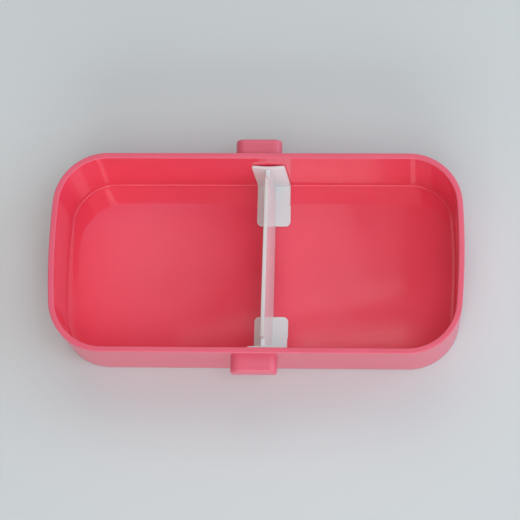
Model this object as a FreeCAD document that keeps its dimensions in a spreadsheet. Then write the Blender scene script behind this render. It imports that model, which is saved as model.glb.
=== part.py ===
"""Lunch box: a moulded tray with two latch lugs, and a loose divider that stands across it.

The origin is at the middle of the base, +X runs along the tray and +Z points up.
"""
import FreeCAD, Part
import math
import os

import Sketcher

# Driving sizes in millimetres, angles in degrees
sizes = {
    # Tray shell, measured at the rim
    "tray_length": 180.0,
    "tray_width": 89.4,
    "tray_height": 37.0,
    "corner_radius": 23.7,
    "end_bow_radius": 316.0,
    "wall_thickness": 2.55,
    "floor_thickness": 2.0,
    "wall_draft": 2.2,
    "base_edge_radius": 2.0,
    "floor_edge_radius": 0.8,
    "rim_edge_radius": 0.5,
    # Latch lugs in the middle of the long sides
    "lug_width": 20.0,
    "lug_reach": 7.5,
    "lug_height": 5.6,
    "lug_drop": 3.6,
    "lug_skin": 1.8,
    "lug_shoulder_radius": 3.6,
    "lug_edge_radius": 1.0,
    # Divider
    "divider_place": 4.96,
    "divider_back_shift": 0.4,
    "divider_height": 26.5,
    "divider_end_clearance": 0.55,
    "panel_lean": 3.7,
    "panel_top_thickness": 1.65,
    "panel_bottom_thickness": 2.0,
    "panel_floor_gap": 0.3,
    "panel_edge_radius": 0.35,
    "notch_length": 3.9,
    "notch_depth": 2.3,
    "wing_thickness": 1.1,
    "wing_lean": 2.1,
    "wing_top_width": 14.7,
    "wing_flare": 0.45,
    "wing_corner_radius": 1.0,
    "foot_thickness": 1.0,
    "foot_width": 14.7,
    "foot_length": 19.5,
    "toe_length": 9.6,
    "toe_extra_width": 0.27,
    "toe_corner_radius": 2.3,
    "heel_height": 4.0,
    "fold_radius": 0.6,
}

# An edge counts as lying at a level when it is this close to it
match_tolerance = 1e-4

doc = FreeCAD.newDocument("lunch_box")
sheet = doc.addObject("Spreadsheet::Sheet", "Sizes")
for row, (alias, value) in enumerate(sizes.items(), start=1):
    sheet.set(f"A{row}", alias)
    sheet.set(f"B{row}", str(value))
    sheet.setAlias(f"B{row}", alias)
doc.recompute()


def add_body(label):
    """Start one piece of the lunch box."""
    body = doc.addObject("PartDesign::Body", label)
    body.Label = label
    return body


def add_sketch(body, name, plane, offset="0"):
    """Start a sketch on one of the body's own origin planes, moved along its normal by a formula."""
    sketch = body.newObject("Sketcher::SketchObject", name)
    support = next(item for item in body.Origin.OriginFeatures if item.Role == plane)
    sketch.AttachmentSupport = [(support, "")]
    sketch.MapMode = "FlatFace"
    sketch.setExpression("AttachmentOffset.Base.z", offset)
    return sketch


def bind(sketch, constraint, formula):
    """Add a dimension to a sketch and tie it to a formula of the sheet's names."""
    index = sketch.addConstraint(constraint)
    sketch.setExpression(f"Constraints[{index}]", formula)


def draw_polygon(sketch, corners):
    """Draw a closed outline of straight lines, each corner held by an x and a y formula."""
    first = sketch.GeometryCount
    turn = 2.0 * math.pi / len(corners)
    start = [FreeCAD.Vector(math.cos(turn * i), math.sin(turn * i), 0) for i in range(len(corners))]
    for i in range(len(corners)):
        sketch.addGeometry(Part.LineSegment(start[i], start[(i + 1) % len(corners)]))
    for i, (across, along) in enumerate(corners):
        line = first + i
        follower = first + (i + 1) % len(corners)
        sketch.addConstraint(Sketcher.Constraint("Coincident", line, 2, follower, 1))
        bind(sketch, Sketcher.Constraint("DistanceX", -1, 1, line, 1, start[i].x), across)
        bind(sketch, Sketcher.Constraint("DistanceY", -1, 1, line, 1, start[i].y), along)


def draw_box(sketch, left, right, bottom, top):
    """Draw a rectangle between four formulas."""
    draw_polygon(sketch, [(left, bottom), (right, bottom), (right, top), (left, top)])


def draw_tray_outline(sketch, inset, inset_formula):
    """Draw the plan of the tray: straight long sides, bowed short sides and round corners.

    Every radius shrinks by the inset, so that outlines of the same tray share their centres.
    """
    side = sizes["tray_width"] / 2 - inset
    corner = sizes["corner_radius"] - inset
    bow = sizes["end_bow_radius"] - inset
    bow_centre = sizes["end_bow_radius"] - sizes["tray_length"] / 2
    corner_y = sizes["tray_width"] / 2 - sizes["corner_radius"]
    corner_x = math.sqrt((bow - corner) ** 2 - corner_y ** 2) - bow_centre
    half_bow = math.asin(corner_y / (bow - corner))

    def arc(x, y, radius, begin, end):
        circle = Part.Circle(FreeCAD.Vector(x, y, 0), FreeCAD.Vector(0, 0, 1), radius)
        return sketch.addGeometry(Part.ArcOfCircle(circle, begin, end))

    def line(x_begin, x_end, y):
        ends = [FreeCAD.Vector(x, y, 0) for x in (x_begin, x_end)]
        return sketch.addGeometry(Part.LineSegment(*ends))

    quarter = math.pi / 2
    right_bow = arc(-bow_centre, 0, bow, -half_bow, half_bow)
    back_right = arc(corner_x, corner_y, corner, half_bow, quarter)
    back = line(corner_x, -corner_x, side)
    back_left = arc(-corner_x, corner_y, corner, quarter, 2 * quarter - half_bow)
    left_bow = arc(bow_centre, 0, bow, 2 * quarter - half_bow, 2 * quarter + half_bow)
    front_left = arc(-corner_x, -corner_y, corner, 2 * quarter + half_bow, 3 * quarter)
    front = line(-corner_x, corner_x, -side)
    front_right = arc(corner_x, -corner_y, corner, 3 * quarter, 4 * quarter - half_bow)

    loop = [right_bow, back_right, back, back_left, left_bow, front_left, front, front_right]
    for piece, follower in zip(loop, loop[1:] + loop[:1]):
        sketch.addConstraint(Sketcher.Constraint("Tangent", piece, 2, follower, 1))
    for straight, sign in ((back, 1), (front, -1)):
        sketch.addConstraint(Sketcher.Constraint("Horizontal", straight))
        bind(sketch, Sketcher.Constraint("DistanceY", -1, 1, straight, 1, sign * side),
             f"{sign} * (Sizes.tray_width / 2 - ({inset_formula}))")
    for round_corner in (back_right, back_left, front_left, front_right):
        bind(sketch, Sketcher.Constraint("Radius", round_corner, corner),
             f"Sizes.corner_radius - ({inset_formula})")
    for bowed, sign in ((right_bow, -1), (left_bow, 1)):
        sketch.addConstraint(Sketcher.Constraint("PointOnObject", bowed, 3, -1))
        bind(sketch, Sketcher.Constraint("DistanceX", -1, 1, bowed, 3, sign * bow_centre),
             f"{sign} * (Sizes.end_bow_radius - Sizes.tray_length / 2)")
        bind(sketch, Sketcher.Constraint("Radius", bowed, bow),
             f"Sizes.end_bow_radius - ({inset_formula})")


def add_feature(body, kind, name, **settings):
    """Add a feature to a body: text settings are formulas, all others are plain values."""
    feature = body.newObject(kind, name)
    for setting, value in settings.items():
        if isinstance(value, str):
            feature.setExpression(setting, value)
        else:
            setattr(feature, setting, value)
    doc.recompute()
    return feature


def add_fillet(body, name, radius, wanted):
    """Round those edges of the body's shape so far for which wanted(edge) is true."""
    base = body.Tip
    edges = [f"Edge{i}" for i, edge in enumerate(base.Shape.Edges, start=1) if wanted(edge)]
    return add_feature(body, "PartDesign::Fillet", name, Base=(base, edges), Radius=radius)


def add_mirror(body, name, features):
    """Repeat features of a body on the other long side of the tray."""
    plane = next(item for item in body.Origin.OriginFeatures if item.Role == "XZ_Plane")
    mirror = body.newObject("PartDesign::Mirrored", name)
    mirror.Originals = features
    mirror.MirrorPlane = (plane, [""])
    body.Tip = mirror
    doc.recompute()
    return mirror


def lies_at(edge, x=None, y=None, z=None):
    """Whether the whole edge keeps to the given x, y or z, on either side of zero."""
    box = edge.BoundBox
    spans = ((x, box.XMin, box.XMax), (y, box.YMin, box.YMax), (z, box.ZMin, box.ZMax))
    return all(high - low < match_tolerance and abs(abs(low) - value) < match_tolerance
               for value, low, high in spans if value is not None)


# Tray: one moulding with drafted walls, a flat floor and a latch lug on each long side
tray = add_body("tray")
rim_level = sizes["tray_height"]
floor_level = sizes["floor_thickness"]

rim_outline = add_sketch(tray, "rim_outline", "XY_Plane", "Sizes.tray_height")
draw_tray_outline(rim_outline, 0.0, "0")
add_feature(tray, "PartDesign::Pad", "block", Profile=rim_outline, Reversed=True,
            Length="Sizes.tray_height", TaperAngle="-Sizes.wall_draft")
add_fillet(tray, "base_edge", "Sizes.base_edge_radius", lambda edge: lies_at(edge, z=0.0))

mouth_outline = add_sketch(tray, "mouth_outline", "XY_Plane", "Sizes.tray_height")
draw_tray_outline(mouth_outline, sizes["wall_thickness"], "Sizes.wall_thickness")
add_feature(tray, "PartDesign::Pocket", "cavity", Profile=mouth_outline,
            Length="Sizes.tray_height - Sizes.floor_thickness", TaperAngle="-Sizes.wall_draft")
add_fillet(tray, "floor_edge", "Sizes.floor_edge_radius", lambda edge: lies_at(edge, z=floor_level))
add_fillet(tray, "rim_edge", "Sizes.rim_edge_radius", lambda edge: lies_at(edge, z=rim_level))

# Each lug is a hollow shelf that starts inside the wall and is open below for a latch to hook
lug_top = "Sizes.tray_height - Sizes.lug_drop"
lug_bottom = f"({lug_top} - Sizes.lug_height)"
lug_profile = add_sketch(tray, "lug_profile", "XZ_Plane", "Sizes.tray_width / 2 - Sizes.wall_thickness / 2")
draw_box(lug_profile, "-Sizes.lug_width / 2", "Sizes.lug_width / 2", lug_bottom, lug_top)
front_lug = add_feature(tray, "PartDesign::Pad", "front_lug", Profile=lug_profile,
                        Length="Sizes.lug_reach + Sizes.wall_thickness / 2")
add_mirror(tray, "back_lug", [front_lug])

lug_half = sizes["lug_width"] / 2
lug_top_level = rim_level - sizes["lug_drop"]
lug_bottom_level = lug_top_level - sizes["lug_height"]
lug_end = sizes["tray_width"] / 2 + sizes["lug_reach"]
add_fillet(tray, "lug_shoulder", "Sizes.lug_shoulder_radius",
           lambda edge: lies_at(edge, x=lug_half, z=lug_top_level))
add_fillet(tray, "lug_edge", "Sizes.lug_edge_radius",
           lambda edge: lies_at(edge, y=lug_end) and not lies_at(edge, z=lug_bottom_level))

lug_core = add_sketch(tray, "lug_core", "XY_Plane", lug_bottom)
core_half = "(Sizes.lug_width / 2 - Sizes.lug_skin)"
core_end = "(Sizes.tray_width / 2 + Sizes.lug_reach - Sizes.lug_skin)"
draw_box(lug_core, f"-{core_half}", core_half, "Sizes.tray_width / 2", core_end)
draw_box(lug_core, f"-{core_half}", core_half, f"-{core_end}", "-Sizes.tray_width / 2")
add_feature(tray, "PartDesign::Pocket", "lug_hollow", Profile=lug_core, Reversed=True,
            Length="Sizes.lug_height - Sizes.lug_skin")


# Divider: one thin moulding, a panel with a sprung wing and a flat foot at each end
def wing_tip(level):
    """Formula for how far a wing's tips reach at a level above the floor, clear of the drafted wall."""
    fall = f"(Sizes.tray_height - Sizes.floor_thickness - {level}) * tan(Sizes.wall_draft)"
    return f"(Sizes.tray_width / 2 - Sizes.wall_thickness - {fall} - Sizes.divider_end_clearance)"


def wing_middle(level):
    """Formula for the inner face of a wing in its middle, where the panel joins it."""
    bend = f"Sizes.wing_flare * ({level} - Sizes.heel_height) / (Sizes.divider_height - Sizes.heel_height)"
    return f"({wing_tip(level)} - {bend} - Sizes.wing_thickness)"


def draw_wing(sketch, level, width, shift, flare):
    """Draw one level of a wing: two strips that flare from the panel to the wall."""
    left = f"-({shift}) - {width} / 2"
    middle = f"-({shift})"
    right = f"-({shift}) + {width} / 2"
    tip = wing_tip(level)
    draw_polygon(sketch, [
        (left, tip),
        (middle, f"{tip} - {flare}"),
        (right, tip),
        (right, f"{tip} - Sizes.wing_thickness"),
        (middle, f"{tip} - {flare} - Sizes.wing_thickness"),
        (left, f"{tip} - Sizes.wing_thickness"),
    ])


divider = add_body("divider")
divider.setExpression("Placement.Base.x", "Sizes.divider_place")
divider.setExpression("Placement.Base.y", "Sizes.divider_back_shift")
divider.setExpression("Placement.Base.z", "Sizes.floor_thickness")
panel_shift = "Sizes.divider_height * tan(Sizes.panel_lean)"
wing_shift = "Sizes.divider_height * tan(Sizes.wing_lean)"
toe_start = f"({wing_tip('0')} - Sizes.foot_length)"
toe_end = f"({toe_start} + Sizes.toe_length)"

# The foot turns up at the wall into a short heel
foot_profile = add_sketch(divider, "foot_profile", "YZ_Plane")
draw_polygon(foot_profile, [
    (toe_end, "0"),
    (wing_tip("0"), "0"),
    (wing_tip("Sizes.heel_height"), "Sizes.heel_height"),
    (f"{wing_tip('Sizes.heel_height')} - Sizes.wing_thickness", "Sizes.heel_height"),
    (f"{wing_tip('Sizes.foot_thickness')} - Sizes.wing_thickness", "Sizes.foot_thickness"),
    (toe_end, "Sizes.foot_thickness"),
])
foot = add_feature(divider, "PartDesign::Pad", "foot", Profile=foot_profile, Midplane=True,
                   Length="Sizes.foot_width")

toe_outline = add_sketch(divider, "toe_outline", "XY_Plane")
toe_side = "(Sizes.foot_width / 2 + Sizes.toe_extra_width)"
draw_box(toe_outline, "-Sizes.foot_width / 2", toe_side, toe_start, toe_end)
toe = add_feature(divider, "PartDesign::Pad", "toe", Profile=toe_outline, Length="Sizes.foot_thickness")

# The wing starts straight on the heel and spreads into a shallow V at its top
wing_root = add_sketch(divider, "wing_root", "XY_Plane", "Sizes.heel_height")
draw_wing(wing_root, "Sizes.heel_height", "Sizes.foot_width", "0", "0")
wing_crown = add_sketch(divider, "wing_crown", "XY_Plane", "Sizes.divider_height")
draw_wing(wing_crown, "Sizes.divider_height", "Sizes.wing_top_width", wing_shift, "Sizes.wing_flare")
wing = add_feature(divider, "PartDesign::AdditiveLoft", "wing", Profile=wing_root,
                   Sections=[wing_crown], Ruled=True)
add_mirror(divider, "front_end", [foot, toe, wing])

# The panel runs from wing to wing, thinner at its top, and stands clear of the floor
panel_root = add_sketch(divider, "panel_root", "XY_Plane", "Sizes.panel_floor_gap")
root_half = "Sizes.panel_bottom_thickness / 2"
root_end = f"({wing_middle('Sizes.panel_floor_gap')} + Sizes.wing_thickness / 2)"
draw_box(panel_root, f"-{root_half}", root_half, f"-{root_end}", root_end)
panel_crown = add_sketch(divider, "panel_crown", "XY_Plane", "Sizes.divider_height")
crown_half = "Sizes.panel_top_thickness / 2"
crown_end = f"({wing_middle('Sizes.divider_height')} + Sizes.wing_thickness / 2)"
draw_box(panel_crown, f"-({panel_shift}) - {crown_half}", f"-({panel_shift}) + {crown_half}",
         f"-{crown_end}", crown_end)
add_feature(divider, "PartDesign::AdditiveLoft", "panel", Profile=panel_root,
            Sections=[panel_crown], Ruled=True)

# A notch beside each wing leaves its top free to spring, and ends where the panel would leave the V
notch_floor = "(Sizes.divider_height - Sizes.notch_depth)"
notch_start = f"({wing_middle('Sizes.divider_height')} - Sizes.notch_length)"
panel_reach = f"(Sizes.panel_top_thickness + 2 * abs({panel_shift} - {wing_shift}))"
ridge = f"Sizes.wing_flare * {panel_reach} / Sizes.wing_top_width"
notch_outline = add_sketch(divider, "notch_outline", "YZ_Plane")
for side in (1, -1):
    draw_polygon(notch_outline, [
        (f"{side} * {notch_start}", notch_floor),
        (f"{side} * ({wing_middle(notch_floor)} + {ridge})", notch_floor),
        (f"{side} * ({wing_middle('Sizes.divider_height')} + {ridge})", "Sizes.divider_height"),
        (f"{side} * {notch_start}", "Sizes.divider_height"),
    ])
add_feature(divider, "PartDesign::Pocket", "notches", Profile=notch_outline, Midplane=True,
            Length="2 * Sizes.foot_width")

# Roundings: toe corners, heel, the fold between foot and heel, and the wing and panel tops
wall_lean = math.tan(math.radians(sizes["wall_draft"]))
wall_foot = sizes["tray_width"] / 2 - sizes["wall_thickness"] - wall_lean * (rim_level - floor_level)
heel_end = wall_foot - sizes["divider_end_clearance"]
fold_end = heel_end + wall_lean * sizes["foot_thickness"] - sizes["wing_thickness"]
toe_tip = heel_end - sizes["foot_length"]


def is_toe_corner(edge):
    """Whether an edge stands upright at the tip of a toe, away from the panel."""
    upright = lies_at(edge, y=toe_tip) and edge.BoundBox.ZLength > match_tolerance
    return upright and abs(edge.CenterOfMass.x) > sizes["foot_width"] / 4


add_fillet(divider, "toe_corner", "Sizes.toe_corner_radius", is_toe_corner)
add_fillet(divider, "heel", "Sizes.floor_edge_radius + Sizes.divider_end_clearance",
           lambda edge: lies_at(edge, y=heel_end, z=0.0))
add_fillet(divider, "fold", "Sizes.fold_radius",
           lambda edge: lies_at(edge, y=fold_end, z=sizes["foot_thickness"]))


def runs_along_top(edge):
    """Whether an edge of the divider lies in its top and runs across the tray."""
    return lies_at(edge, z=sizes["divider_height"]) and edge.BoundBox.XLength < match_tolerance


add_fillet(divider, "wing_corner", "Sizes.wing_corner_radius",
           lambda edge: runs_along_top(edge) and edge.Length < 2 * sizes["wing_thickness"])
add_fillet(divider, "panel_edge", "Sizes.panel_edge_radius",
           lambda edge: runs_along_top(edge) and edge.Length > 2 * sizes["wing_thickness"])

# Nothing is written unless every feature and both pieces are sound
faulty = [item.Name for item in doc.Objects if {"Invalid", "Error"} & set(item.State)]
faulty += [body.Label for body in (tray, divider) if body.Shape.isNull() or not body.Shape.isValid()]
if faulty:
    raise RuntimeError("failed to build: " + ", ".join(faulty))
os.makedirs("parts", exist_ok=True)
for body in (tray, divider):
    body.Shape.exportStep(f"parts/{body.Label}.step")
    print(body.Label, len(body.Shape.Solids), "solid,", round(body.Shape.Volume), "cubic millimetres")
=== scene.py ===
import math

import bmesh
import bpy
import numpy as np
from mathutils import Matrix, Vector


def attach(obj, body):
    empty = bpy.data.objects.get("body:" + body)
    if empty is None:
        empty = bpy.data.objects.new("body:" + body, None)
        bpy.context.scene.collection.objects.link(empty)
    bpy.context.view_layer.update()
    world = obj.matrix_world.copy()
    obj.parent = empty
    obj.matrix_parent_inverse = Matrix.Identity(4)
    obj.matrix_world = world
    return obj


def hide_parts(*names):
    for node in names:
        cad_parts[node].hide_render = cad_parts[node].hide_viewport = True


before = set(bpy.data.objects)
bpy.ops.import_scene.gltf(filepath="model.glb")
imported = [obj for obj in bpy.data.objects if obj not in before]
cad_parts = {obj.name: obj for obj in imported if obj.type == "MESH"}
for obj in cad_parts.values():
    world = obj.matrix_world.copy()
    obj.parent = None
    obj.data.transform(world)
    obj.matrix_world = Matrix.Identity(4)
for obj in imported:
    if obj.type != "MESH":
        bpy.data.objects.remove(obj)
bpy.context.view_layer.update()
scene = bpy.context.scene


# Tray: one injection moulding in coral polypropylene, with drafted walls and a flat floor.
# The cavity comes from a polished core and is glossy; the rim and the outside are satin, and their colour
# is painted paler as painted sheen.
# A hollow lug on each long side is moulded on with it, for the latches of a lid.

# Sizes are in millimetres, and build_piece turns them into metres
MM = 0.001
# A hair shorter than the solid, so that the mesh stays inside the CAD box
TRAY_LENGTH = 179.94
TRAY_WIDTH = 89.4
TRAY_HEIGHT = 37.0
CORNER_RADIUS = 23.7
END_BOW_RADIUS = 316.0
WALL_THICKNESS = 2.55
FLOOR_THICKNESS = 2.0
WALL_DRAFT = math.radians(2.2)
BASE_EDGE_RADIUS = 2.0
FLOOR_EDGE_RADIUS = 0.8
RIM_EDGE_RADIUS = 0.5
END_POINTS = 20
CORNER_POINTS = 28
SIDE_POINTS = 44
QUARTER_TURN = math.pi / 2


def tray_plan():
    """The rim's outline as points and outward directions, both (n, 2).

    Each arc is its centre plus its radius times the direction of an angle that runs evenly
    along it. The two long sides are straight, and all arcs meet tangent to their neighbours.
    """
    bow_centre = END_BOW_RADIUS - TRAY_LENGTH / 2
    corner_y = TRAY_WIDTH / 2 - CORNER_RADIUS
    corner_x = math.sqrt((END_BOW_RADIUS - CORNER_RADIUS) ** 2 - corner_y ** 2) - bow_centre
    half_bow = math.asin(corner_y / (END_BOW_RADIUS - CORNER_RADIUS))
    points = []
    directions = []

    def arc(x, y, radius, begin, end, count):
        angle = np.linspace(begin, end, count, endpoint=False)
        direction = np.stack([np.cos(angle), np.sin(angle)], axis=1)
        points.append(np.array([x, y]) + radius * direction)
        directions.append(direction)

    def side(begin, end, y):
        x = np.linspace(begin, end, SIDE_POINTS, endpoint=False)
        points.append(np.stack([x, np.full(SIDE_POINTS, y)], axis=1))
        directions.append(np.stack([np.zeros(SIDE_POINTS), np.full(SIDE_POINTS, np.sign(y))], axis=1))

    half_turn = 2 * QUARTER_TURN
    arc(-bow_centre, 0, END_BOW_RADIUS, -half_bow, half_bow, END_POINTS)
    arc(corner_x, corner_y, CORNER_RADIUS, half_bow, QUARTER_TURN, CORNER_POINTS)
    side(corner_x, -corner_x, TRAY_WIDTH / 2)
    arc(-corner_x, corner_y, CORNER_RADIUS, QUARTER_TURN, half_turn - half_bow, CORNER_POINTS)
    arc(bow_centre, 0, END_BOW_RADIUS, half_turn - half_bow, half_turn + half_bow, END_POINTS)
    arc(-corner_x, -corner_y, CORNER_RADIUS, half_turn + half_bow, 3 * QUARTER_TURN, CORNER_POINTS)
    side(-corner_x, corner_x, -TRAY_WIDTH / 2)
    arc(corner_x, -corner_y, CORNER_RADIUS, 3 * QUARTER_TURN, 2 * half_turn - half_bow, CORNER_POINTS)
    return np.concatenate(points), np.concatenate(directions)


# Gloss goes from 0 on the outside, over a little on the rim's inner edge, to 1 in the cavity; it sets the
# roughness, and it blends the outside's paler painted sheen into the cavity's deeper coral
OUTER_GLOSS = 0.0
RIM_GLOSS = 0.3
CAVITY_GLOSS = 1.0
WIDE_ROUNDING_ROWS = 9
RIM_ROUNDING_ROWS = 7
WALL_ROWS = 8
RIM_TOP_ROWS = 1
EDGE_SHARE = 0.01


def tray_section():
    """The wall's cross-section as (outward, up, gloss) rows, from under the base to the floor.

    Straight runs lean by the draft. Each rounding is an arc about a centre one radius away
    from the two faces that it joins.
    """
    lean = math.tan(WALL_DRAFT)
    stretch = 1 / math.cos(WALL_DRAFT)

    def outer_face(up):
        return -(TRAY_HEIGHT - up) * lean

    def rounding(face, up, radius, begin, end, count, gloss):
        angle = np.linspace(begin, end, count)
        outward = face + radius * np.cos(angle)
        return np.stack([outward, up + radius * np.sin(angle), np.full(count, gloss)], axis=1)

    def straight(begin, end, count):
        """Rows between two corners: close to both ends, and evenly spread in the middle."""
        middle = np.linspace(0, 1, count + 2)[1:-1]
        share = np.concatenate([[EDGE_SHARE], middle, [1 - EDGE_SHARE]])[:, None]
        return begin * (1 - share) + end * share

    base_face = outer_face(BASE_EDGE_RADIUS) - BASE_EDGE_RADIUS * stretch
    base_edge = rounding(base_face, BASE_EDGE_RADIUS, BASE_EDGE_RADIUS,
                         -QUARTER_TURN, -WALL_DRAFT, WIDE_ROUNDING_ROWS, OUTER_GLOSS)
    rim_up = TRAY_HEIGHT - RIM_EDGE_RADIUS
    rim_face = outer_face(rim_up) - RIM_EDGE_RADIUS * stretch
    outer_rim = rounding(rim_face, rim_up, RIM_EDGE_RADIUS,
                         -WALL_DRAFT, QUARTER_TURN, RIM_ROUNDING_ROWS, OUTER_GLOSS)
    mouth_face = outer_face(rim_up) - WALL_THICKNESS + RIM_EDGE_RADIUS * stretch
    inner_rim = rounding(mouth_face, rim_up, RIM_EDGE_RADIUS,
                         QUARTER_TURN, math.pi - WALL_DRAFT, RIM_ROUNDING_ROWS, RIM_GLOSS)
    floor_up = FLOOR_THICKNESS + FLOOR_EDGE_RADIUS
    floor_face = outer_face(floor_up) - WALL_THICKNESS - FLOOR_EDGE_RADIUS * stretch
    floor_edge = rounding(floor_face, floor_up, FLOOR_EDGE_RADIUS,
                          -WALL_DRAFT, -QUARTER_TURN, WIDE_ROUNDING_ROWS, CAVITY_GLOSS)
    joined = [base_edge]
    for after, count in ((outer_rim, WALL_ROWS), (inner_rim, RIM_TOP_ROWS), (floor_edge, WALL_ROWS)):
        run = straight(joined[-1][-1], after[0], count)
        run[:, 2] = after[0, 2]
        joined += [run, after]
    return np.concatenate(joined)


RING_SHARES = [0.985, 0.9, 0.75, 0.6, 0.45, 0.3, 0.15, 0.0]


def tray_shell():
    """The tray's grid and its gloss: the section carried round the plan.

    Rings that shrink by the ring shares towards the middle close the base and the floor.
    """
    points, directions = tray_plan()
    outward, up, gloss = tray_section().T
    wall = points[None, :, :] + outward[:, None, None] * directions[None, :, :]
    level = np.repeat(up[:, None], len(points), axis=1)
    shrink = np.array(RING_SHARES)[:, None, None]
    floor = wall[-1][None] * shrink
    base = (wall[0][None] * shrink)[::-1]
    plan = np.concatenate([base, wall, floor])
    rings = len(RING_SHARES)
    height = np.concatenate([np.zeros((rings, len(points))), level,
                             np.full((rings, len(points)), FLOOR_THICKNESS)])
    shine = np.concatenate([np.full(rings, OUTER_GLOSS), gloss, np.full(rings, CAVITY_GLOSS)])
    grid = np.concatenate([plan, height[:, :, None]], axis=2)
    grid = np.concatenate([grid, grid[:, :1]], axis=1)
    return grid, np.repeat(shine[:, None], grid.shape[1], axis=1)


LUG_HALF_WIDTH = 10.0
LUG_REACH = 7.5
LUG_HEIGHT = 5.6
LUG_DROP = 3.6
LUG_SKIN = 1.8
LUG_SHOULDER_RADIUS = 3.6
LUG_EDGE_RADIUS = 1.0
# The lug is rooted this share of the way into the wall
LUG_ROOT_SHARE = 0.6
# Radii that are left where the skin has used up the outer ones
LUG_INNER_SHOULDER = 0.8
LUG_INNER_EDGE = 0.3
LUG_LEAST_BEND = 0.1
LUG_ROWS = 8
LUG_TURN_POINTS = 10
LUG_FLANK_POINTS = 4
LUG_TOP_POINTS = 12
LUG_CLOSING_SHARES = [0.97, 0.75, 0.5, 0.25, 0.1, 0.0]


def lug_sheet(side, inset):
    """One face of a lug, moved in by inset: an arch carried out from the wall and closed at its end.

    The arch goes up one flank, round a shoulder, over the top and down the other flank. Near
    the end it shrinks by the edge rounding, and then to a point at the middle of the lower edge.
    """
    half = LUG_HALF_WIDTH - inset
    top = TRAY_HEIGHT - LUG_DROP - inset
    bottom = TRAY_HEIGHT - LUG_DROP - LUG_HEIGHT
    end = TRAY_WIDTH / 2 + LUG_REACH - inset
    shoulder = max(LUG_SHOULDER_RADIUS - inset, LUG_INNER_SHOULDER)
    edge = max(LUG_EDGE_RADIUS - inset, LUG_INNER_EDGE)
    start = TRAY_WIDTH / 2 - WALL_THICKNESS * LUG_ROOT_SHARE
    turn = np.linspace(0, QUARTER_TURN, LUG_TURN_POINTS)
    run = np.linspace(start, end - edge, LUG_ROWS)
    closing = np.ones(len(LUG_CLOSING_SHARES))
    reach = np.concatenate([run, end - edge + edge * np.sin(turn[1:]), end * closing])
    pinch = np.concatenate([np.zeros(LUG_ROWS), edge * (1 - np.cos(turn[1:])), edge * closing])
    share = np.concatenate([np.ones(LUG_ROWS + LUG_TURN_POINTS - 1), LUG_CLOSING_SHARES])[:, None]
    flank = np.linspace(0, 1, LUG_FLANK_POINTS + 1)[:-1]
    over = np.linspace(-1, 1, LUG_TOP_POINTS)[1:-1]
    width = (half - pinch)[:, None]
    crown = (top - pinch)[:, None]
    bend = np.maximum(shoulder - pinch, LUG_LEAST_BEND)[:, None]
    foot_x = -width * np.ones_like(flank)
    foot_z = bottom + (crown - bend - bottom) * flank
    left_x = -width + bend * (1 - np.cos(turn))
    left_z = crown - bend + bend * np.sin(turn)
    top_x = (width - bend) * over
    top_z = crown * np.ones_like(over)
    x = np.concatenate([foot_x, left_x, top_x, -left_x[:, ::-1], -foot_x[:, ::-1]], axis=1)
    z = np.concatenate([foot_z, left_z, top_z, left_z[:, ::-1], foot_z[:, ::-1]], axis=1)
    y = np.repeat(reach[:, None], x.shape[1], axis=1)
    return np.stack([x * share, side * y, bottom + (z - bottom) * share], axis=2)


def lug_shell(side):
    """A hollow lug: its outer and inner sheets, joined round the lower lip and inside the wall."""
    outer = lug_sheet(side, 0.0)
    inner = lug_sheet(side, LUG_SKIN)
    lips = [np.stack([outer[:, column], inner[:, column]]) for column in (0, -1)]
    return [outer, inner, *lips, np.stack([outer[0], inner[0]])]


CREASE_ANGLE = math.radians(40.0)
WELD_DISTANCE = 1e-7


def point_count(sheets):
    """How many points a list of grids has in all: rows times columns, added up."""
    return sum(sheet.shape[0] * sheet.shape[1] for sheet in sheets)


def build_piece(name, shells, values):
    """Make one mesh object from closed shells, each a list of (rows, columns, 3) grids in millimetres.

    Neighbouring grid points make the faces, doubled points are merged, so seams and poles
    close, and every shell's faces are turned outwards. Each value becomes a point attribute.
    """
    sheets = [sheet for shell in shells for sheet in shell]
    starts = np.cumsum([0] + [point_count([sheet]) for sheet in sheets])
    faces = []
    for sheet, start in zip(sheets, starts):
        index = start + np.arange(point_count([sheet])).reshape(sheet.shape[:2])
        quads = np.stack([index[:-1, :-1], index[:-1, 1:], index[1:, 1:], index[1:, :-1]], axis=2)
        faces.append(quads.reshape(-1, 4))
    mesh = bpy.data.meshes.new(name)
    points = np.concatenate([sheet.reshape(-1, 3) for sheet in sheets]) * MM
    mesh.from_pydata(points.tolist(), [], np.concatenate(faces).tolist())
    for label, value in values.items():
        layer = mesh.attributes.new(label, "FLOAT", "POINT")
        layer.data.foreach_set("value", np.asarray(value, dtype=np.float32))
    weld = bmesh.new()
    weld.from_mesh(mesh)
    bmesh.ops.remove_doubles(weld, verts=weld.verts, dist=WELD_DISTANCE)
    bmesh.ops.dissolve_degenerate(weld, edges=weld.edges, dist=WELD_DISTANCE)
    bmesh.ops.recalc_face_normals(weld, faces=weld.faces)
    weld.to_mesh(mesh)
    weld.free()
    mesh.polygons.foreach_set("use_smooth", np.ones(len(mesh.polygons), dtype=bool))
    mesh.set_sharp_from_angle(angle=CREASE_ANGLE)
    piece = bpy.data.objects.new(name, mesh)
    scene.collection.objects.link(piece)
    return piece


shell, shine = tray_shell()
lugs = [lug_shell(side) for side in (1, -1)]
lug_gloss = [np.full(point_count(lug), OUTER_GLOSS) for lug in lugs]
gloss = np.concatenate([shine.ravel(), *lug_gloss])
tray = build_piece("tray_moulding", [[shell], *lugs], {"gloss": gloss})

RIPPLE_DETAIL = 2.0
CLOUD_SCALE = 38.0
CLOUD_DETAIL = 3.0
CLOUD_HEIGHT = 2.0
MARK_SLANT = math.radians(24.0)
MARK_STRETCH = (18.0, 950.0, 18.0)
MARK_DETAIL = 1.0
MARK_BEGIN = 0.68
MARK_FULL = 0.76


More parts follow.
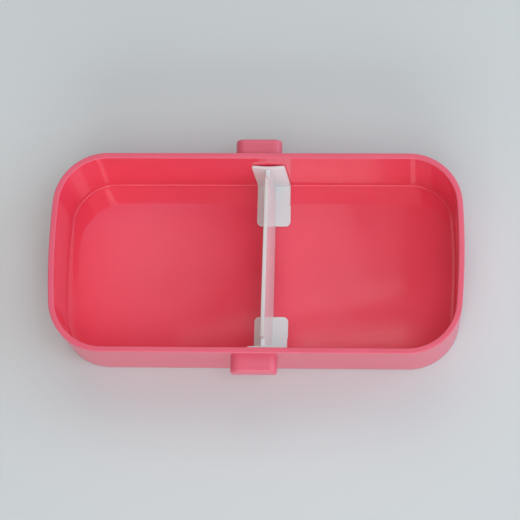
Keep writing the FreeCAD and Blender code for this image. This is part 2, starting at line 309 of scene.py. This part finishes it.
def moulded_surface():
    """Node group: the fine ripple, clouding and handling marks that moulded plastic carries.

    Height is small noise plus broad noise. Cloud is broad noise from 0 to 1. Marks are thin
    streaks where one strongly stretched noise passes a high level.
    """
    group = bpy.data.node_groups.new("moulded_surface", "ShaderNodeTree")
    face = group.interface
    face.new_socket(name="Ripple Scale", in_out="INPUT", socket_type="NodeSocketFloat")
    for output in ("Height", "Cloud", "Marks"):
        face.new_socket(name=output, in_out="OUTPUT", socket_type="NodeSocketFloat")
    nodes = group.nodes
    links = group.links
    entry = nodes.new("NodeGroupInput")
    leave = nodes.new("NodeGroupOutput")
    place = nodes.new("ShaderNodeTexCoord")
    ripple = nodes.new("ShaderNodeTexNoise")
    ripple.inputs["Detail"].default_value = RIPPLE_DETAIL
    links.new(place.outputs["Object"], ripple.inputs["Vector"])
    links.new(entry.outputs["Ripple Scale"], ripple.inputs["Scale"])
    cloud = nodes.new("ShaderNodeTexNoise")
    cloud.inputs["Scale"].default_value = CLOUD_SCALE
    cloud.inputs["Detail"].default_value = CLOUD_DETAIL
    links.new(place.outputs["Object"], cloud.inputs["Vector"])
    links.new(cloud.outputs["Fac"], leave.inputs["Cloud"])
    swell = nodes.new("ShaderNodeMath")
    swell.operation = "MULTIPLY_ADD"
    swell.inputs[1].default_value = CLOUD_HEIGHT
    links.new(cloud.outputs["Fac"], swell.inputs[0])
    links.new(ripple.outputs["Fac"], swell.inputs[2])
    links.new(swell.outputs[0], leave.inputs["Height"])
    slant = nodes.new("ShaderNodeMapping")
    slant.inputs["Rotation"].default_value = (0.0, 0.0, MARK_SLANT)
    slant.inputs["Scale"].default_value = MARK_STRETCH
    links.new(place.outputs["Object"], slant.inputs["Vector"])
    streak = nodes.new("ShaderNodeTexNoise")
    streak.inputs["Scale"].default_value = 1.0
    streak.inputs["Detail"].default_value = MARK_DETAIL
    links.new(slant.outputs["Vector"], streak.inputs["Vector"])
    level = nodes.new("ShaderNodeMapRange")
    level.inputs["From Min"].default_value = MARK_BEGIN
    level.inputs["From Max"].default_value = MARK_FULL
    links.new(streak.outputs["Fac"], level.inputs["Value"])
    links.new(level.outputs["Result"], leave.inputs["Marks"])
    return group


def mix_colour(tree, share, low, high):
    """A Mix node that goes from one colour to another by a share, and its result socket."""
    mix = tree.nodes.new("ShaderNodeMix")
    mix.data_type = "RGBA"
    tree.links.new(share, mix.inputs["Factor"])
    for socket, colour in ((mix.inputs["A"], low), (mix.inputs["B"], high)):
        if isinstance(colour, tuple):
            socket.default_value = (*colour, 1.0)
        else:
            tree.links.new(colour, socket)
    return mix.outputs["Result"]


def ranged(tree, value, low, high, begin=0.0, end=1.0):
    """A Map Range node that carries a value from begin..end to low..high, and its result socket."""
    node = tree.nodes.new("ShaderNodeMapRange")
    node.inputs["From Min"].default_value = begin
    node.inputs["From Max"].default_value = end
    node.inputs["To Min"].default_value = low
    node.inputs["To Max"].default_value = high
    tree.links.new(value, node.inputs["Value"])
    return node.outputs["Result"]


def combine(tree, operation, first, second):
    """A Math node of two sockets, or of a socket and a number, and its result socket."""
    node = tree.nodes.new("ShaderNodeMath")
    node.operation = operation
    for socket, value in zip(node.inputs, (first, second)):
        if isinstance(value, float):
            socket.default_value = value
        else:
            tree.links.new(value, socket)
    return node.outputs[0]


def read_attribute(tree, name):
    """An Attribute node that reads one point value of the mesh, and its result socket."""
    node = tree.nodes.new("ShaderNodeAttribute")
    node.attribute_name = name
    return node.outputs["Fac"]


def new_material(name):
    """A node material, with its tree and its Principled shader."""
    material = bpy.data.materials.new(name)
    material.use_nodes = True
    return material, material.node_tree, material.node_tree.nodes["Principled BSDF"]


PLASTIC_IOR = 1.49
RIPPLE_DEPTH = 0.0002
surface_group = moulded_surface()


def moulded_plastic(name, ripple_scale, ripple_strength):
    """A plastic with the moulded surface in its normal: material, tree, shader and group node."""
    material, tree, plastic = new_material(name)
    surface = tree.nodes.new("ShaderNodeGroup")
    surface.node_tree = surface_group
    surface.inputs["Ripple Scale"].default_value = ripple_scale
    bump = tree.nodes.new("ShaderNodeBump")
    bump.inputs["Strength"].default_value = ripple_strength
    bump.inputs["Distance"].default_value = RIPPLE_DEPTH
    tree.links.new(surface.outputs["Height"], bump.inputs["Height"])
    tree.links.new(bump.outputs["Normal"], plastic.inputs["Normal"])
    plastic.inputs["IOR"].default_value = PLASTIC_IOR
    return material, tree, plastic, surface


CAVITY_CORAL = (0.875, 0.064, 0.117)
CAVITY_CORAL_PALE = (0.885, 0.070, 0.127)
# The outside's coral is the same plastic painted paler and less red: painted sheen of its satin finish
OUTER_CORAL_PAINTED_SHEEN = (0.765, 0.121, 0.191)
OUTER_CORAL_PAINTED_SHEEN_PALE = (0.785, 0.133, 0.205)
TINT_CLOUD = (0.35, 0.65)
ROUGH_CLOUD = (0.3, 0.7)
OUTER_ROUGHNESS = 0.30
CAVITY_ROUGHNESS = 0.06
ROUGHNESS_DRIFT = 0.02
MARK_ROUGHNESS = 0.03
# Up to this gloss, just past the rim's inner edge, the finish stays satin
SATIN_GLOSS = 0.35
TRAY_RIPPLE_SCALE = 700.0
TRAY_RIPPLE_STRENGTH = 0.03

tray_plastic, tree, plastic, surface = moulded_plastic("tray_plastic", TRAY_RIPPLE_SCALE,
                                                       TRAY_RIPPLE_STRENGTH)
polish = read_attribute(tree, "gloss")
tint = ranged(tree, surface.outputs["Cloud"], 0.0, 1.0, *TINT_CLOUD)
outer_painted_sheen_tone = mix_colour(tree, tint, OUTER_CORAL_PAINTED_SHEEN, OUTER_CORAL_PAINTED_SHEEN_PALE)
cavity_tone = mix_colour(tree, tint, CAVITY_CORAL, CAVITY_CORAL_PALE)
# Painted sheen: where the gloss is low, the paler outer coral stands in for the satin's scattered
# reflection
coral_and_painted_sheen_tone = mix_colour(tree, polish, outer_painted_sheen_tone, cavity_tone)
tree.links.new(coral_and_painted_sheen_tone, plastic.inputs["Base Color"])
sheen = ranged(tree, polish, OUTER_ROUGHNESS, CAVITY_ROUGHNESS, SATIN_GLOSS, CAVITY_GLOSS)
drift = ranged(tree, surface.outputs["Cloud"], -ROUGHNESS_DRIFT, ROUGHNESS_DRIFT, *ROUGH_CLOUD)
worn = combine(tree, "MULTIPLY", surface.outputs["Marks"], MARK_ROUGHNESS)
rough = combine(tree, "ADD", combine(tree, "ADD", sheen, drift), worn)
tree.links.new(rough, plastic.inputs["Roughness"])
tray.data.materials.append(tray_plastic)
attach(tray, "tray")
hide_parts("tray")


# Divider: one thin moulding in milky white polypropylene, loose in the tray.
# A panel spans the tray; at each end a flat foot turns up into a wing that presses on the wall.
# A notch in the panel beside each wing leaves the wing's top free to spring.
DIVIDER_PLACE = 4.96
DIVIDER_BACK_SHIFT = 0.4
DIVIDER_HEIGHT = 26.5
END_CLEARANCE = 0.55
WING_THICKNESS = 1.1
WING_SHIFT = DIVIDER_HEIGHT * math.tan(math.radians(2.1))
WING_TOP_WIDTH = 14.7
WING_FLARE = 0.45
WING_CORNER_RADIUS = 1.0
FOOT_THICKNESS = 1.0
FOOT_WIDTH = 14.7
FOOT_LENGTH = 19.5
TOE_LENGTH = 9.6
TOE_EXTRA_WIDTH = 0.27
TOE_CORNER_RADIUS = 2.3
# The toe's extra width begins over this length, and the wing's V is rounded by this much
TOE_STEP = 0.2
FOLD_SOFTNESS = 0.15
HEEL_HEIGHT = 4.0
HEEL_RADIUS = FLOOR_EDGE_RADIUS + END_CLEARANCE
# Past this angle of the heel, in radians, the plate is as thick as the wing
HEEL_SPLIT = 1.0
PLATE_EDGE_RADIUS = 0.28
# Where the plate has sections: along the toe, round its step, along the sole and up the wing
TOE_STATIONS = [4.0, 6.0, 8.0]
STEP_STATIONS = TOE_LENGTH + TOE_STEP * np.array([-0.75, -0.25, 0.25, 0.75])
SOLE_STATIONS = [11.0, 13.0, 15.0]
LOW_WING_STATIONS = [HEEL_RADIUS + 0.1, 3.0]
WING_STATIONS = np.linspace(HEEL_HEIGHT, 25.0, 12)
BEFORE_HEEL = 0.05
CORNER_STATIONS = 7
HEEL_STATIONS = 9


def wing_face(level):
    """How far out a wing's outer face stands at a level above the floor: the wall, less the clearance."""
    fall = (TRAY_HEIGHT - FLOOR_THICKNESS - level) * math.tan(WALL_DRAFT)
    return TRAY_WIDTH / 2 - WALL_THICKNESS - fall - END_CLEARANCE


# The heel turns about this point, and the middle of its plate has this radius
HEEL_CENTRE = wing_face(HEEL_RADIUS) - HEEL_RADIUS / math.cos(WALL_DRAFT)
HEEL_BEND = HEEL_RADIUS - FOOT_THICKNESS / 2
# A plate's corners stop a hair short of its half sides, so that no two meet in one point
CORNER_SHARE = 0.999
PLATE_TURN_POINTS = 5
PLATE_FACE_POINTS = 23


def plate_loop(half_width, half_thickness, ease):
    """Round a plate's cross-section: (stations, points) across and through it, as a closed loop.

    The loop is a rectangle with quarter circles at its corners. Ease draws the whole loop in
    by that much, as the plate's end is rounded over.
    """
    wide = (half_width - ease)[:, None]
    thick = (half_thickness - ease)[:, None]
    bend = np.minimum(np.minimum(PLATE_EDGE_RADIUS, thick), wide) * CORNER_SHARE
    turn = np.linspace(0, QUARTER_TURN, PLATE_TURN_POINTS)
    face = np.linspace(-1, 1, PLATE_FACE_POINTS)[1:-1]
    flat = wide - bend
    corner_out = bend * np.sin(turn)
    corner_up = bend * (1 - np.cos(turn))
    across = np.concatenate([flat * face, flat + corner_out, (flat + corner_out)[:, ::-1],
                             -flat * face, -flat - corner_out, (-flat - corner_out)[:, ::-1]], axis=1)
    level = np.ones_like(face)
    through = np.concatenate([-thick * level, -thick + corner_up, (thick - corner_up)[:, ::-1],
                              thick * level, thick - corner_up, (-thick + corner_up)[:, ::-1]], axis=1)
    return across, through


def close_loop(grid):
    """Join a grid's last column to its first, and draw each end row to its own middle point."""
    first, last = (np.repeat(row.mean(axis=0, keepdims=True), len(row), axis=0)[None]
                   for row in (grid[0], grid[-1]))
    grid = np.concatenate([first, grid, last])
    return np.concatenate([grid, grid[:, :1]], axis=1)


def corner_cut(distance, radius):
    """How much a rounded corner of a radius takes away at a distance from the edge it ends at."""
    within = np.clip(radius - distance, 0, radius)
    return radius - np.sqrt(radius ** 2 - within ** 2)


def divider_end(side):
    """Foot, heel and wing of one end: a plate's section carried along an L-shaped path.

    The path runs from the toe along the floor, round the heel and up the wall. The plate's
    width follows the toe's and the wing's corners, and its middle bends away from the wall in
    a V that deepens with height, while the whole wing leans towards its top.
    """
    toe = wing_face(0.0) - FOOT_LENGTH
    turn = np.linspace(0, QUARTER_TURN, CORNER_STATIONS)
    tip = PLATE_EDGE_RADIUS * (1 - np.cos(turn))
    corner = PLATE_EDGE_RADIUS + TOE_CORNER_RADIUS * (1 - np.cos(turn[1:]))
    run = np.concatenate([tip, corner, TOE_STATIONS, STEP_STATIONS, SOLE_STATIONS,
                          [HEEL_CENTRE - toe - BEFORE_HEEL]])
    heel = np.linspace(0, QUARTER_TURN - WALL_DRAFT, HEEL_STATIONS)
    rise = np.concatenate([LOW_WING_STATIONS, WING_STATIONS,
                           DIVIDER_HEIGHT - WING_CORNER_RADIUS * np.cos(turn[:-1]),
                           DIVIDER_HEIGHT - PLATE_EDGE_RADIUS * (1 - np.sin(turn))])
    rise = np.unique(np.round(rise, 5))
    y = np.concatenate([toe + run, HEEL_CENTRE + HEEL_BEND * np.sin(heel),
                        wing_face(rise) - WING_THICKNESS / 2])
    z = np.concatenate([np.full(len(run), FOOT_THICKNESS / 2),
                        HEEL_RADIUS - HEEL_BEND * np.cos(heel), rise])
    angle = np.concatenate([np.zeros(len(run)), heel, np.full(len(rise), heel[-1])])
    from_toe = y - toe
    from_top = DIVIDER_HEIGHT - z
    cut = corner_cut(from_toe, TOE_CORNER_RADIUS) + corner_cut(from_top, WING_CORNER_RADIUS)
    ease = corner_cut(from_toe, PLATE_EDGE_RADIUS) + corner_cut(from_top, PLATE_EDGE_RADIUS)
    extra = np.clip((TOE_LENGTH + TOE_STEP / 2 - from_toe) / TOE_STEP, 0, 1) * TOE_EXTRA_WIDTH
    climb = np.clip((z - HEEL_HEIGHT) / (DIVIDER_HEIGHT - HEEL_HEIGHT), 0, 1)
    half_width = (FOOT_WIDTH + extra + (WING_TOP_WIDTH - FOOT_WIDTH) * climb) / 2 - cut
    half_thickness = np.where(angle > HEEL_SPLIT, WING_THICKNESS, FOOT_THICKNESS) / 2
    across, through = plate_loop(half_width, half_thickness, ease)
    fold = np.sqrt(across ** 2 + FOLD_SOFTNESS ** 2) / half_width[:, None]
    dent = WING_FLARE * climb[:, None] * np.clip(1 - fold, 0, 1)
    grid_x = DIVIDER_PLACE + (extra / 2 - WING_SHIFT * climb)[:, None] + across
    grid_y = y[:, None] - np.sin(angle)[:, None] * through - dent
    grid_z = FLOOR_THICKNESS + z[:, None] + np.cos(angle)[:, None] * through
    return close_loop(np.stack([grid_x, side * grid_y + DIVIDER_BACK_SHIFT, grid_z], axis=2))


PANEL_SHIFT = DIVIDER_HEIGHT * math.tan(math.radians(3.7))
PANEL_TOP_THICKNESS = 1.65
PANEL_BOTTOM_THICKNESS = 2.0
PANEL_FLOOR_GAP = 0.3
PANEL_TWIST = 0.17
PANEL_EDGE_RADIUS = 0.35
PANEL_END_DEPTH = 0.5
THIN_EDGE_DEPTH = 1.2
NOTCH_LENGTH = 3.9
NOTCH_DEPTH = 2.3
# The notch's edge is rounded over this length, and its step slopes over as much
NOTCH_SLOPE = 0.3
# Where the panel has sections: how many up to the notch and along its floor, and the places
# of those round the notch's edge, counted from it in slopes
PANEL_STATIONS = 19
NOTCH_FLOOR_STATIONS = 5
NOTCH_STATIONS = np.array([-1.0, -2 / 3, -0.4, -0.2, 0.0, 0.5, 1.0])
PANEL_TURN_POINTS = 6
# Rows up the panel as shares of its height: close together beside the heel, then even
PANEL_ROWS = np.concatenate([[0.0, 0.01], np.linspace(0.03, 0.1, 5),
                             np.linspace(0.15, 0.95, 9), [0.985]])


def panel_end(level):
    """How far out the panel ends at a level above the floor: inside the wing, or inside the heel.

    Along the wing it follows the wall's lean and the V's depth. Below, it follows the middle
    of the heel's arc down to the middle of the foot.
    """
    climb = np.clip((level - HEEL_HEIGHT) / (DIVIDER_HEIGHT - HEEL_HEIGHT), 0, 1)
    in_wing = wing_face(level) - WING_FLARE * climb - PANEL_END_DEPTH
    drop = np.clip((HEEL_RADIUS - level) / HEEL_BEND, 0, 1)
    in_heel = HEEL_CENTRE + HEEL_BEND * np.sqrt(1 - drop ** 2)
    return np.where(level < HEEL_RADIUS, in_heel, in_wing)


def divider_panel():
    """The panel: an upright tapered section carried across the tray from wing to wing.

    Its top drops at the notches and is twisted a little, and both ends stop inside the wings.
    The second grid is 1 along the thin top edge and fades to 0 below it: the mask of the edge's painted
    shade.
    """
    inner = wing_face(DIVIDER_HEIGHT) - WING_FLARE - WING_THICKNESS
    notch = inner - NOTCH_LENGTH
    end = panel_end(DIVIDER_HEIGHT)
    before = np.linspace(0, notch - 2 * NOTCH_SLOPE, PANEL_STATIONS)
    after = np.linspace(notch + 2 * NOTCH_SLOPE, inner, NOTCH_FLOOR_STATIONS)
    half = np.concatenate([before, notch + NOTCH_SLOPE * NOTCH_STATIONS, after, [end]])
    along = np.concatenate([-half[:0:-1], half])
    past = np.abs(along) - notch
    drop = np.clip(past / NOTCH_SLOPE, 0, 1) * (NOTCH_DEPTH - NOTCH_SLOPE)
    bend = np.clip(past + NOTCH_SLOPE, 0, NOTCH_SLOPE)
    drop = drop + NOTCH_SLOPE - np.sqrt(NOTCH_SLOPE ** 2 - bend ** 2)
    crown = (DIVIDER_HEIGHT - drop)[:, None]
    turn = np.linspace(0, QUARTER_TURN, PANEL_TURN_POINTS)
    shoulder = crown - PANEL_EDGE_RADIUS
    side_z = PANEL_FLOOR_GAP + (shoulder - PANEL_FLOOR_GAP) * PANEL_ROWS
    edge_z = shoulder + PANEL_EDGE_RADIUS * np.sin(turn)
    level = np.concatenate([side_z, edge_z], axis=1)
    climb = (level - PANEL_FLOOR_GAP) / (DIVIDER_HEIGHT - PANEL_FLOOR_GAP)
    thick = (PANEL_BOTTOM_THICKNESS + (PANEL_TOP_THICKNESS - PANEL_BOTTOM_THICKNESS) * climb) / 2
    thick = thick - np.concatenate([np.zeros(len(PANEL_ROWS)), PANEL_EDGE_RADIUS * (1 - np.cos(turn))])
    twist = PANEL_TWIST * climb * (along / end)[:, None]
    middle = DIVIDER_PLACE - PANEL_SHIFT * climb + twist
    to_end = np.clip(past / (end - notch), 0, 1)[:, None]
    reach = np.abs(along)[:, None] + to_end * (panel_end(level) - end)
    y = np.sign(along)[:, None] * reach + DIVIDER_BACK_SHIFT
    thin = np.clip(1 - (DIVIDER_HEIGHT - level) / THIN_EDGE_DEPTH, 0, 1)

    def round_trip(up, down):
        return np.concatenate([up, down[:, ::-1]], axis=1)

    x = round_trip(middle - thick, middle + thick)
    z = FLOOR_THICKNESS + round_trip(level, level)
    grid = np.stack([x, round_trip(y, y), z], axis=2)
    return close_loop(grid), close_loop(round_trip(thin, thin)[:, :, None])


ends = [divider_end(side) for side in (1, -1)]
panel, panel_thin = divider_panel()
no_panel = np.zeros(point_count(ends))
# The thin and upright values mask the top edge's painted shade and the panel's painted glow
panel_values = {"thin": np.concatenate([panel_thin.ravel(), no_panel]),
                "upright": np.concatenate([np.ones(panel_thin.size), no_panel])}
divider = build_piece("divider_moulding", [[panel], [ends[0]], [ends[1]]], panel_values)

# Painted light: the upright panel is painted paler, as a painted glow of light passing through the milky
# plastic, and its thin top edge greyer, as painted shade
DIVIDER_WHITE = (0.74, 0.785, 0.795)
DIVIDER_WHITE_PALE = (0.77, 0.815, 0.825)
PANEL_PAINTED_GLOW_WHITE = (0.82, 0.90, 0.91)
THIN_EDGE_PAINTED_SHADE = (0.68, 0.63, 0.625)
DIVIDER_ROUGHNESS = (0.15, 0.22)
DIVIDER_RIPPLE_SCALE = 1600.0
DIVIDER_RIPPLE_STRENGTH = 0.12

divider_plastic, tree, plastic, surface = moulded_plastic("divider_plastic", DIVIDER_RIPPLE_SCALE,
                                                          DIVIDER_RIPPLE_STRENGTH)
tint = ranged(tree, surface.outputs["Cloud"], 0.0, 1.0, *TINT_CLOUD)
milky_tone = mix_colour(tree, tint, DIVIDER_WHITE, DIVIDER_WHITE_PALE)
# Painted glow on the upright panel, then painted shade on its thin top edge
panel_painted_glow_tone = mix_colour(tree, read_attribute(tree, "upright"), milky_tone, PANEL_PAINTED_GLOW_WHITE)
edge_painted_shade_tone = mix_colour(tree, read_attribute(tree, "thin"), panel_painted_glow_tone, THIN_EDGE_PAINTED_SHADE)
tree.links.new(edge_painted_shade_tone, plastic.inputs["Base Color"])
drift = ranged(tree, surface.outputs["Cloud"], *DIVIDER_ROUGHNESS, *ROUGH_CLOUD)
tree.links.new(drift, plastic.inputs["Roughness"])
divider.data.materials.append(divider_plastic)
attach(divider, "divider")
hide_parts("divider")


# Table: the plain pale top that the box stands on, painted and dull.
# It is one flat sheet, far wider than the view, at the level of the tray's base.
TABLE_GREY = (0.632, 0.645, 0.658)
TABLE_GREY_PALE = (0.653, 0.665, 0.678)
TABLE_REACH = 6.0
MOTTLE_SCALE = 6.0
TABLE_ROUGHNESS = 0.6
TABLE_SPECULAR = 0.2

table_mesh = bpy.data.meshes.new("table")
table_side = np.array([-TABLE_REACH, TABLE_REACH])
table_x, table_y = np.meshgrid(table_side, table_side)
table_points = np.stack([table_x, table_y, np.zeros((2, 2))], axis=2).reshape(-1, 3)
table_mesh.from_pydata(table_points.tolist(), [], [(0, 1, 3, 2)])
table = bpy.data.objects.new("table", table_mesh)
scene.collection.objects.link(table)
table_paint, tree, paint = new_material("table_paint")
place = tree.nodes.new("ShaderNodeTexCoord")
mottle = tree.nodes.new("ShaderNodeTexNoise")
mottle.inputs["Scale"].default_value = MOTTLE_SCALE
tree.links.new(place.outputs["Object"], mottle.inputs["Vector"])
table_tone = mix_colour(tree, mottle.outputs["Fac"], TABLE_GREY, TABLE_GREY_PALE)
tree.links.new(table_tone, paint.inputs["Base Color"])
paint.inputs["Roughness"].default_value = TABLE_ROUGHNESS
paint.inputs["Specular IOR Level"].default_value = TABLE_SPECULAR
table_mesh.materials.append(table_paint)


# Light: a plain room, brighter low down than overhead, and brighter and cooler on its window side.
# Four large lamps light the box. The small ones above it add little light: they are what the
# glossy cavity mirrors, as window panes on its walls and as soft glows on its floor.
SKY_LOW = 0.42
SKY_HIGH = 0.22
SKY_LEFT = 0.75
SKY_RIGHT = 1.08
WARM_LIGHT = (1.0, 0.955, 0.895)
COOL_LIGHT = (0.92, 0.975, 1.0)
WINDOW_LIGHT = (0.62, 0.88, 1.0)
SKY_BLUE_LIGHT = (0.28, 0.45, 1.0)
LAMP_TARGET = Vector((0.0, 0.0, 0.02))

world = bpy.data.worlds.new("room")
scene.world = world
world.use_nodes = True
room = world.node_tree
sky = room.nodes["Background"]
heading = room.nodes.new("ShaderNodeTexCoord")
split = room.nodes.new("ShaderNodeSeparateXYZ")
room.links.new(heading.outputs["Generated"], split.inputs["Vector"])
sky_level = ranged(room, split.outputs["Z"], SKY_LOW, SKY_HIGH)
sky_share = ranged(room, split.outputs["X"], SKY_LEFT, SKY_RIGHT, -1.0, 1.0)
room.links.new(combine(room, "MULTIPLY", sky_level, sky_share), sky.inputs["Strength"])
window_side = ranged(room, split.outputs["X"], 0.0, 1.0, -1.0, 1.0)
room.links.new(mix_colour(room, window_side, WARM_LIGHT, COOL_LIGHT), sky.inputs["Color"])


def soft_light(name, shape, colour, place, width, depth, brightness):
    """A flat lamp of a given surface brightness that looks at the middle of the box.

    Its power is the brightness times pi times its area.
    """
    lamp = bpy.data.lights.new(name, "AREA")
    lamp.shape = shape
    lamp.size = width
    lamp.size_y = depth
    area = width * depth * (math.pi / 4 if shape == "ELLIPSE" else 1.0)
    lamp.energy = brightness * math.pi * area
    lamp.color = colour
    stand = bpy.data.objects.new(name, lamp)
    stand.location = place
    stand.rotation_euler = (LAMP_TARGET - stand.location).to_track_quat("-Z", "Y").to_euler()
    scene.collection.objects.link(stand)


soft_light("overhead", "RECTANGLE", WARM_LIGHT, (0.20, -0.65, 1.6), 1.8, 1.0, 1.45)
soft_light("back_light", "RECTANGLE", WARM_LIGHT, (0.15, 1.17, 1.6), 1.8, 1.0, 1.45)
soft_light("front_fill", "RECTANGLE", COOL_LIGHT, (0.1, -1.6, 0.80), 1.4, 0.8, 3.7)
soft_light("window", "RECTANGLE", WINDOW_LIGHT, (1.6, 0.05, 0.85), 1.8, 1.4, 1.80)
soft_light("front_pane", "RECTANGLE", COOL_LIGHT, (-0.042, -0.46, 1.48), 0.10, 0.32, 6.2)
soft_light("side_pane", "RECTANGLE", WINDOW_LIGHT, (0.42, -0.27, 1.48), 0.30, 0.34, 4.2)
soft_light("back_pane", "RECTANGLE", WINDOW_LIGHT, (0.285, 0.415, 1.48), 0.18, 0.14, 1.8)
soft_light("left_glow", "ELLIPSE", COOL_LIGHT, (-0.238, 0.412, 1.50), 0.19, 0.16, 0.42)
soft_light("left_glow_middle", "ELLIPSE", COOL_LIGHT, (-0.236, 0.412, 1.50), 0.14, 0.12, 0.30)
soft_light("left_glow_core", "ELLIPSE", COOL_LIGHT, (-0.246, 0.425, 1.50), 0.08, 0.075, 0.35)
soft_light("right_panel", "RECTANGLE", COOL_LIGHT, (-0.062, 0.430, 1.50), 0.085, 0.130, 1.05)
soft_light("right_panel_end", "RECTANGLE", COOL_LIGHT, (0.005, 0.430, 1.50), 0.045, 0.130, 0.55)
soft_light("back_strip", "RECTANGLE", SKY_BLUE_LIGHT, (-0.15, 0.520, 1.50), 0.40, 0.075, 0.70)
soft_light("front_bar", "RECTANGLE", COOL_LIGHT, (-0.09, 0.356, 1.50), 0.24, 0.012, 1.30)
soft_light("front_strip", "RECTANGLE", COOL_LIGHT, (-0.022, 0.330, 1.50), 0.12, 0.018, 2.60)


# Camera: it looks steeply down from the front and a little from the right, through a long lens.
# Its place, turn and lens were fitted to the outlines of the rim, floor and base.
CAMERA_PLACE = (0.08827, -0.29537, 1.11017)
CAMERA_TURN = (15.2711, 4.1999, 1.4342)
CAMERA_LENS = 179.467
SENSOR_WIDTH = 36.0
FARTHEST_VIEW = 50.0

camera = bpy.data.cameras.new("camera")
camera.sensor_width = SENSOR_WIDTH
camera.lens = CAMERA_LENS
camera.clip_end = FARTHEST_VIEW
camera_stand = bpy.data.objects.new("camera", camera)
camera_stand.location = CAMERA_PLACE
camera_stand.rotation_euler = [math.radians(angle) for angle in CAMERA_TURN]
scene.collection.objects.link(camera_stand)
scene.camera = camera_stand
scene.view_settings.view_transform = "Standard"
